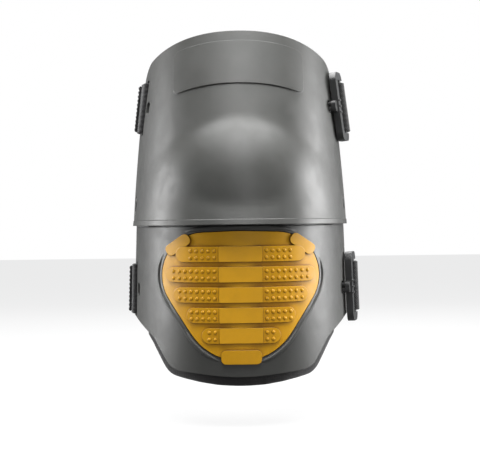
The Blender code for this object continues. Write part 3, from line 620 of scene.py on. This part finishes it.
# The nubs are small domes moulded with the ribs, in two rows at both ends of each rib.
bm = bmesh.new()
NUB_PITCH, NUB_R, NUB_ROW = 4.1, 1.45, 2.45
for z, per_end in zip(rib_heights, (5, 8, 7, 5, 2)):
    half = min(insert_half_at(z + RIB_HEIGHT / 2), insert_half_at(z - RIB_HEIGHT / 2)) - 2.2
    for row in (-1, 1):
        for side in (-1, 1):
            for i in range(per_end):
                x = PANEL_HALF + 2.4 + i * NUB_PITCH
                height = z + row * NUB_ROW
                past_end = x - half + RIB_HEIGHT / 2
                if x > half - 2.2 or (past_end > 0 and math.hypot(past_end, NUB_ROW) > 3.9):
                    continue
                place, normal = on_shin(side * x, height, RIB_TOP - 0.55)
                turn = normal.to_track_quat("Z", "Y").to_matrix().to_4x4()
                bmesh.ops.create_uvsphere(
                    bm,
                    u_segments=14,
                    v_segments=8,
                    radius=NUB_R,
                    matrix=Matrix.Translation(place) @ turn @ Matrix.Diagonal((1.0, 1.0, 0.62, 1)),
                )
nubs = smooth(add("tread_nubs", bm), rubber, 60)
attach(nubs, "shin")

# ---------------------------------------------------------------- knee joint
# Black moulded studs turn in the holes of the ears; a washer keeps the two shells apart and a cap holds the
# stud from inside the hood.
black_plastic = satin_plastic("black_plastic", (0.018, 0.018, 0.018), (0.032, 0.032, 0.031))


def cheek_of_thigh(y, z, off=0.0):
    along, up = y * COS - z * SIN, y * SIN + z * COS
    depth = abs((along - CUFF_DEPTH + CUFF_FRONT) / (CUFF_DEPTH + off))
    return (HALF_WIDTH - CUFF_TAPER * up + off) * (1 - depth**POWER) ** (1 / POWER)


EAR_INNER, EAR_OUTER = cheek_of_thigh(-11.0, 0.0, -WALL), cheek_of_thigh(0.0, 0.0)
for side_name, side in (("left", -1), ("right", 1)):
    inner = HOOD_HALF - WALL
    for kind, profile in (
        (
            "hinge_stud",
            [
                (inner - 3.2, 0),
                (inner - 3.2, 4.8),
                (inner - 2.7, 5.2),
                (EAR_INNER + 0.8, 5.2),
                (EAR_INNER + 0.8, 7.1),
                (EAR_OUTER - 1.1, 7.1),
                (EAR_OUTER - 0.6, 6.9),
                (EAR_OUTER - 0.3, 6.4),
                (EAR_OUTER - 0.3, 4.6),
                (EAR_OUTER - 0.6, 4.2),
                (EAR_OUTER - 2.4, 3.7),
                (EAR_OUTER - 2.6, 3.4),
                (EAR_OUTER - 2.6, 0),
            ],
        ),
        (
            "hinge_washer",
            [
                (HOOD_HALF + FIT, 5.6),
                (EAR_INNER - FIT, 5.6),
                (EAR_INNER - FIT, 9.6),
                (EAR_INNER - FIT - 0.4, 10),
                (HOOD_HALF + FIT, 10),
            ],
        ),
        (
            "hinge_cap",
            [
                (inner - 1.0, 5.6),
                (inner - 1.0, 9.4),
                (inner - 1.6, 10.0),
                (inner - 4.4, 10.0),
                (inner - 5.1, 9.7),
                (inner - 5.4, 9.0),
                (inner - 5.4, 5.0),
                (inner - 4.9, 4.6),
                (inner - 4.9, 0),
                (inner - 3.6, 0),
                (inner - 3.6, 5.6),
            ],
        ),
    ):
        node = kind + "_" + side_name
        piece = smooth(turned(node + "_piece", profile, side), black_plastic, 40)
        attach(piece, "shin")
        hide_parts(node)

# ---------------------------------------------------------------- foam linings
# Closed-cell foam with a knitted facing, moulded to the shells, with softened edges. The lower lining
# reaches past the tongue as a soft lip.
LINING_GAP, FOAM, LINING_REAR, LIP = 3.0, 11.0, 27.0, 9.0
foam_in = -WALL - LINING_GAP - FOAM


def knit(name, dark, light):
    """Knitted facing on foam: fine cross-hatched loops over soft dents."""
    material, tree, shader = new_material(name)
    coords = tree.nodes.new("ShaderNodeTexCoord").outputs["Object"]
    heights = []
    for direction in ("X", "Z"):
        wave = tree.nodes.new("ShaderNodeTexWave")
        wave.bands_direction = direction
        wave.inputs["Scale"].default_value = 190.0
        wave.inputs["Distortion"].default_value = 1.2
        wave.inputs["Detail Scale"].default_value = 30.0
        tree.links.new(coords, wave.inputs["Vector"])
        heights.append(wave.outputs["Fac"])
    weave = tree.nodes.new("ShaderNodeMath")
    weave.operation = "MULTIPLY"
    tree.links.new(heights[0], weave.inputs[0])
    tree.links.new(heights[1], weave.inputs[1])
    tree.links.new(
        ramp(tree, noise(tree, coords, 45.0, 4.0), (0.3, dark), (0.7, light)), shader.inputs["Base Color"]
    )
    shader.inputs["Roughness"].default_value = 0.82
    shader.inputs["Sheen Weight"].default_value = 0.35
    shader.inputs["Sheen Roughness"].default_value = 0.45
    loops = bump(tree, weave.outputs["Value"], 0.35, 0.0004)
    tree.links.new(bump(tree, noise(tree, coords, 60.0, 3.0), 0.25, 0.0012, loops), shader.inputs["Normal"])
    return material


facing = knit("lining_facing", (0.022, 0.021, 0.022), (0.040, 0.037, 0.037))


def soften(obj, voxel=1.6, rounds=10, limit=0.0012):
    """Rounds the edges of a foam block: even remesh, relaxed, with no point moved further than the limit."""
    remesh = obj.modifiers.new("even", "REMESH")
    remesh.mode, remesh.voxel_size = "VOXEL", voxel * MM
    applied(obj)
    before = np.empty(len(obj.data.vertices) * 3)
    obj.data.vertices.foreach_get("co", before)
    relax = obj.modifiers.new("relax", "SMOOTH")
    relax.factor, relax.iterations = 0.6, rounds
    applied(obj)
    after = np.empty_like(before)
    obj.data.vertices.foreach_get("co", after)
    moved = (after - before).reshape(-1, 3)
    length = np.linalg.norm(moved, axis=1)[:, None]
    after = before + (moved * np.minimum(1, limit / np.maximum(length, 1e-9))).ravel()
    obj.data.vertices.foreach_set("co", after)
    obj.data.update()
    return obj


def lining_form(off):
    def radius(d):
        hood, body = ellipsoid(d, HOOD_R + off, HOOD_HALF + off), shin_form(off)(d)
        down = np.clip((-hood * d[:, 2] - SHOULDER - WALL - 3) / 16, 0, 1)
        return hood + down**2 * (3 - 2 * down) * np.maximum(body - hood, 0)

    return radius


def rim_z(y):
    return (RIM_HEIGHT - y * SIN) / COS


thigh_lining_side = rounded(
    [
        (-DOME_R - 40, 0.22 * RIM_HEIGHT, 0),
        (thigh_rear(0) - LINING_REAR, 0.22 * RIM_HEIGHT, 0),
        (RIM_REAR - LINING_REAR, rim_z(RIM_REAR - LINING_REAR) - 7, 14),
        (-DOME_R - 40, rim_z(-DOME_R - 40) - 7, 0),
    ]
)
thigh_liner = combine(
    layer("thigh_liner_piece", cuff_form, -WALL - LINING_GAP, foam_in, 110, 56),
    ("&", prism("edge", thigh_lining_side, "X", -200, 200)),
    ("-", star("sweep", lambda d: ellipsoid(d, HOOD_R + 2.5, HOOD_HALF + 2.5), 106, 54)),
)
lining_top = (HOOD_R - WALL) * math.sin(math.radians(46))
lining_rear = REAR - LINING_REAR
shin_lining_side = [
    (-DOME_R - 60, -SHIN_LENGTH - 50),
    (lining_rear, -SHIN_LENGTH - 50),
    (lining_rear, lining_top),
    (-DOME_R - 60, lining_top),
]
shin_liner = combine(
    layer("shin_liner_piece", lining_form, -WALL - LINING_GAP, foam_in, 110, 56),
    ("&", prism("rear", shin_lining_side, "X", -200, 200)),
    ("&", prism("lip", tongue_outline(1.0, 0.5 * LIP, 1.05 * LIP), "Y", -200, 200)),
)
cushion_edge = pill(0, -0.52 * SHIN_LENGTH, 0.5 * HALF_WIDTH, 0.29 * SHIN_LENGTH, 18, 10)
cushion = combine(
    layer("knee_cushion_piece", lining_form, foam_in - 1.2, foam_in - 9.0, 110, 56),
    ("&", prism("edge", cushion_edge, "Y", -160, -20)),
)
for piece, node, body, rounds, limit in (
    (thigh_liner, "thigh_liner", "thigh", 14, 0.0022),
    (shin_liner, "shin_liner", "shin", 14, 0.0022),
    (cushion, "knee_cushion", "shin", 30, 0.0034),
):
    smooth(soften(piece, 1.8, rounds, limit), facing, 180)
    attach(piece, body)
    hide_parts(node)

# ---------------------------------------------------------------- hook patches
# Thin pads of hook tape, glued between the linings and the shells so that the linings can be taken out.
hook_tape, tree, shader = new_material("hook_tape")
coords = tree.nodes.new("ShaderNodeTexCoord").outputs["Object"]
hooks = tree.nodes.new("ShaderNodeTexVoronoi")
hooks.inputs["Scale"].default_value = 900.0
tree.links.new(coords, hooks.inputs["Vector"])
tree.links.new(
    ramp(tree, hooks.outputs["Distance"], (0.1, (0.030, 0.030, 0.031)), (0.6, (0.010, 0.010, 0.010))),
    shader.inputs["Base Color"],
)
shader.inputs["Roughness"].default_value = 0.7
tree.links.new(bump(tree, hooks.outputs["Distance"], 0.6, 0.0006), shader.inputs["Normal"])
for part, side in (("thigh", "left"), ("thigh", "right"), ("shin", "left"), ("shin", "right")):
    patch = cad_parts[f"{part}_liner_patch_{side}"]
    patch.data.materials.clear()
    patch.data.materials.append(hook_tape)

# ---------------------------------------------------------------- straps
# Woven elastic, 38 mm wide: folded through the slot on the left, round the back of the leg, and round the
# clip's bar on the right, where it is stitched to itself. A tape tab on the left sets its length.
STRAP_THICK, BAR_R, CLIP_THICK, STAND_OFF, LEG_BACK, CALF_BACK = 1.8, 2.2, 5.0, 4.4, 95.0, 76.0
FOLD = BAR_R + 0.5 + STRAP_THICK / 2


def cheek_of_shin(y, z, off=0.0):
    depth = abs((y - shin_centre(z)) / (SHIN_DEPTH + off))
    return (SHIN_HALF - SHIN_TAPER * z + off) * (1 - depth**POWER) ** (1 / POWER)


def strap_line(z, cheek, rear, slot, back, bar, fold):
    """Plan line of a strap at one height: left loop, round the leg, and the fold round the clip's bar."""
    t = STRAP_THICK / 2
    inside = cheek(slot, z, -WALL) - t - FIT
    outside_slot, outside_rear = cheek(slot, z) + t + 0.7, cheek(rear, z) + t + 0.7
    inside_rear = cheek(rear, z, -WALL) - t - FIT
    left = [
        (-(inside_rear - 0.2), rear + 22, 0),
        (-(inside_rear - 0.2), rear + 4, 8),
        (-(inside - 0.6), slot, 1.6),
        (-(outside_slot + 0.6), slot, 2.2),
        (-(outside_rear + 0.4), rear + 1, 12),
        (-(inside_rear + 2 * t + 0.5), rear + 12, 14),
        (-(inside_rear + 2 * t + 0.4), rear + 26, 30),
    ]
    start_y, half = rear + 30, inside_rear + 2 * t + 0.2
    bx, by = bar
    sweep = []
    for a in np.linspace(0.06, math.pi - 0.06, 61):
        c, s = math.cos(a), math.sin(a)
        width = half if c > 0 else bx - fold
        sweep.append((-math.copysign(abs(c) ** 0.86, c) * width, start_y + (back - start_y) * s**0.86, 0))
    right = [
        (bx - fold, by + 10, 20),
        (bx - fold, by - fold, fold),
        (bx + fold, by - fold, fold),
        (bx + fold, by + 7, 10),
        (bx - fold + 2 * t + 0.5, by + 15, 12),
        (bx - fold + 2 * t + 0.3, by + 27, 0),
    ]
    return [Vector((p.x, p.y, z)) for p in rounded(left + sweep + right, closed=False, steps=8)]


def band(name, low, high, thick):
    """Woven band between a lower and an upper edge line, with soft edges."""
    rings = []
    for i in range(len(low)):
        last = len(low) - 1
        ahead = low[min(i + 1, last)] + high[min(i + 1, last)]
        behind = low[max(i - 1, 0)] + high[max(i - 1, 0)]
        up = (high[i] - low[i]).normalized()
        out = (ahead - behind).normalized().cross(up).normalized() * thick / 2
        soft = up * thick * 0.3
        lower = [low[i] - out + soft, low[i], low[i] + out + soft]
        rings.append(lower + [high[i] + out - soft, high[i], high[i] - out - soft])
    return loft(name, rings)


elastic, tree, shader = new_material("woven_elastic")
along = tree.nodes.new("ShaderNodeSeparateXYZ")
tree.links.new(tree.nodes.new("ShaderNodeUVMap").outputs["UV"], along.inputs["Vector"])
coords = tree.nodes.new("ShaderNodeTexCoord").outputs["Object"]
height = tree.nodes.new("ShaderNodeSeparateXYZ")
tree.links.new(coords, height.inputs["Vector"])


def waves(value, times):
    turned_by = tree.nodes.new("ShaderNodeMath")
    turned_by.operation = "MULTIPLY"
    turned_by.inputs[1].default_value = times
    tree.links.new(value, turned_by.inputs[0])
    wave = tree.nodes.new("ShaderNodeMath")
    wave.operation = "SINE"
    tree.links.new(turned_by.outputs["Value"], wave.inputs[0])
    return wave.outputs["Value"]


def times(first, second):
    product = tree.nodes.new("ShaderNodeMath")
    product.operation = "MULTIPLY"
    tree.links.new(first, product.inputs[0])
    tree.links.new(second, product.inputs[1])
    return product.outputs["Value"]


# The weft crosses every 1.1 mm along the band, and the cords of the warp stand 1.9 mm apart.
weave = times(waves(along.outputs["X"], math.tau * 10 / 1.1), waves(height.outputs["Z"], math.tau / 0.0019))
cords = waves(height.outputs["Z"], math.tau / 0.0038)
tree.links.new(
    ramp(tree, weave, (0.0, (0.0085, 0.0082, 0.0085)), (0.6, (0.026, 0.025, 0.026))),
    shader.inputs["Base Color"],
)
shader.inputs["Roughness"].default_value = 0.85
shader.inputs["Sheen Weight"].default_value = 0.3
shader.inputs["Sheen Roughness"].default_value = 0.5
tree.links.new(bump(tree, cords, 0.3, 0.0004, bump(tree, weave, 0.5, 0.0003)), shader.inputs["Normal"])
thread, tree, shader = new_material("strap_thread")
coords = tree.nodes.new("ShaderNodeTexCoord").outputs["Object"]
tree.links.new(
    ramp(tree, noise(tree, coords, 900.0), (0.3, (0.035, 0.035, 0.036)), (0.7, (0.075, 0.075, 0.077))),
    shader.inputs["Base Color"],
)
shader.inputs["Roughness"].default_value = 0.6
tree.links.new(bump(tree, noise(tree, coords, 4000.0), 0.3, 0.0002), shader.inputs["Normal"])

clip_sets = []
for part, body, ring, shell, middle, cheek, rear, post_gap, back in (
    ("thigh", "thigh", "thigh_ring", thigh_shell, STRAP_Z, cheek_of_thigh, thigh_rear, 7.0, LEG_BACK),
    ("shin", "shin", "shin_ring", shin_shell, SHIN_STRAP_Z, cheek_of_shin, lambda z: REAR, 9.0, CALF_BACK),
):
    slot_at = rear(middle) - STRIP - SLOT / 2
    lines, bars = [], []
    for z in (middle - STRAP_WIDTH / 2, middle + STRAP_WIDTH / 2):
        bar = (cheek(rear(z), z) + STAND_OFF + 1.2, rear(middle) + 6.5)
        bars.append(Vector((*bar, z)))
        lines.append(strap_line(z, cheek, rear(middle), slot_at, back, bar, FOLD))
    strap = smooth(band(part + "_strap_piece", *lines, STRAP_THICK), elastic, 50)
    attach(strap, body)
    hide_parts(part + "_strap")

    # The tab covers the outside of the left loop, from just behind the slot.
    first, last = slot_at + 2.5, rear(middle) + 24
    chosen = [i for i, p in enumerate(lines[0]) if i > 16 and p.x < 0 and first < p.y < last]
    tab_lines = []
    for line, inwards in zip(lines, (1.5, -1.5)):
        picked = []
        for i in chosen:
            heading = (line[i + 1] - line[i - 1]).normalized()
            outwards = Vector((-heading.y, heading.x, 0))
            outwards = -outwards if outwards.x > 0 else outwards
            picked.append(line[i] + outwards * (STRAP_THICK / 2 + 1.0) + Vector((0, 0, inwards)))
        tab_lines.append(picked)
    tab = smooth(band(part + "_strap_tab_piece", *tab_lines, 1.4), hook_tape, 50)
    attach(tab, body)
    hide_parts(part + "_strap_tab")

    # Two rows of lock stitch hold the tab, and two more close the loop behind the clip.
    bm = bmesh.new()
    rows = []
    for end in (chosen[2], chosen[-3]):
        heading = (lines[0][end + 1] - lines[0][end - 1]).normalized()
        outwards = Vector((-heading.y, heading.x, 0))
        outwards = -outwards if outwards.x > 0 else outwards
        rows.append((lines[0][end], lines[1][end], outwards * (STRAP_THICK / 2 + 1.75)))
    for end in (len(lines[0]) - 4, len(lines[0]) - 2):
        heading = (lines[0][end + 1] - lines[0][end - 1]).normalized()
        lift = Vector((heading.y, -heading.x, 0)) * (STRAP_THICK / 2 + 0.1)
        rows.append((lines[0][end], lines[1][end], lift))
    for low, high, lift in rows:
        for step in range(11):
            share = (step + 1) / 12
            place = low.lerp(high, share) + lift
            bmesh.ops.create_uvsphere(
                bm,
                u_segments=8,
                v_segments=6,
                radius=0.42,
                matrix=Matrix.Translation(place) @ Matrix.Diagonal((0.9, 0.9, 2.6, 1)),
            )
    stitches = smooth(add(part + "_strap_stitches", bm), thread, 180)
    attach(stitches, body)
    clip_sets.append((part, ring, shell, middle, cheek, slot_at - SLOT / 2 - post_gap, bars))

# ---------------------------------------------------------------- strap clips
# Hard glossy black plastic: a window for the strap with a round bar behind it, grip ridges in front, and a
# forked post that snaps into a hole in the shell's cheek.
clip_plastic = satin_plastic("clip_plastic", (0.012, 0.012, 0.012), (0.022, 0.022, 0.022))
shine = clip_plastic.node_tree.nodes["Principled BSDF"]
shine.inputs["Coat Weight"].default_value = 0.5
shine.inputs["Coat Roughness"].default_value = 0.18
for part, ring, shell, middle, cheek, post, bars in clip_sets:
    origin = (bars[0] + bars[1]) / 2
    k = (bars[1] - bars[0]).normalized()
    target = Vector((cheek(post, middle) + STAND_OFF, post, middle))
    u = target - origin
    u = (u - k * u.dot(k)).normalized()
    n, across = u.cross(k).normalized(), k
    if n.x < 0:
        n, across = -n, -k
    place = Matrix((u, across, n)).transposed().to_4x4()
    place.translation = origin * MM
    reach = (target - origin).length

    def block(name, a0, a1, b0, b1, c0, c1, r=1.0, steps=4):
        points = pill((a0 + a1) / 2, (b0 + b1) / 2, (a1 - a0) / 2, (b1 - b0) / 2, r, steps)
        obj = prism(name, points, "Z", c0, c1)
        obj.data.transform(place)
        return obj

    half, thick = STRAP_WIDTH / 2 + 7.5, CLIP_THICK / 2
    front, wall_in = reach - 5.0, STAND_OFF + WALL + 2.0
    angles = np.linspace(0, math.tau, 40, endpoint=False)
    circle = [Vector((BAR_R * math.cos(a), BAR_R * math.sin(a))) for a in angles]
    round_bar = prism("bar", circle, "Z", -half + 3.0, half - 3.0)
    round_bar.data.transform(Matrix.Rotation(-math.pi / 2, 4, "X"))
    round_bar.data.transform(place)
    clip = combine(
        block(part + "_clip_piece", -4.0, front, -half, half, -thick, thick, 7.5, 12),
        ("-", block("window", -30, front - 8.5, -half + 6.0, half - 6.0, -20, 20, 3.0, 6)),
        ("+", round_bar),
        ("+", block("tongue", front - 2, reach + 3.2, -4.2, 4.2, -thick + 0.2, thick - 1.4, 2.6, 8)),
    )
    for low, high in ((-3.4, -0.9), (0.9, 3.4)):
        combine(clip, ("+", block("prong", reach - 2.2, reach + 2.2, low, high, -wall_in, 0, 0.5, 3)))
    for b in (-4.5, 0.0, 4.5):
        grip = block("grip", front - 7.6, front - 0.8, b - 0.8, b + 0.8, 0, thick + 0.8, 0.7, 4)
        combine(clip, ("+", grip))
    key = block("key", reach - 4.2, reach + 4.2, -5.0, 5.0, -wall_in - 4, 0, 3.0, 8)
    mirrored = bpy.data.objects.new("key_left", key.data.copy())
    bpy.context.scene.collection.objects.link(mirrored)
    mirrored.data.transform(Matrix.Scale(-1, 4, (1, 0, 0)))
    mirrored.data.flip_normals()
    combine(shell, ("-", key), ("-", mirrored))
    shell.data.set_sharp_from_angle(angle=math.radians(32))
    smooth(clip, clip_plastic, 35)
    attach(clip, ring)
    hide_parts(part + "_clip")
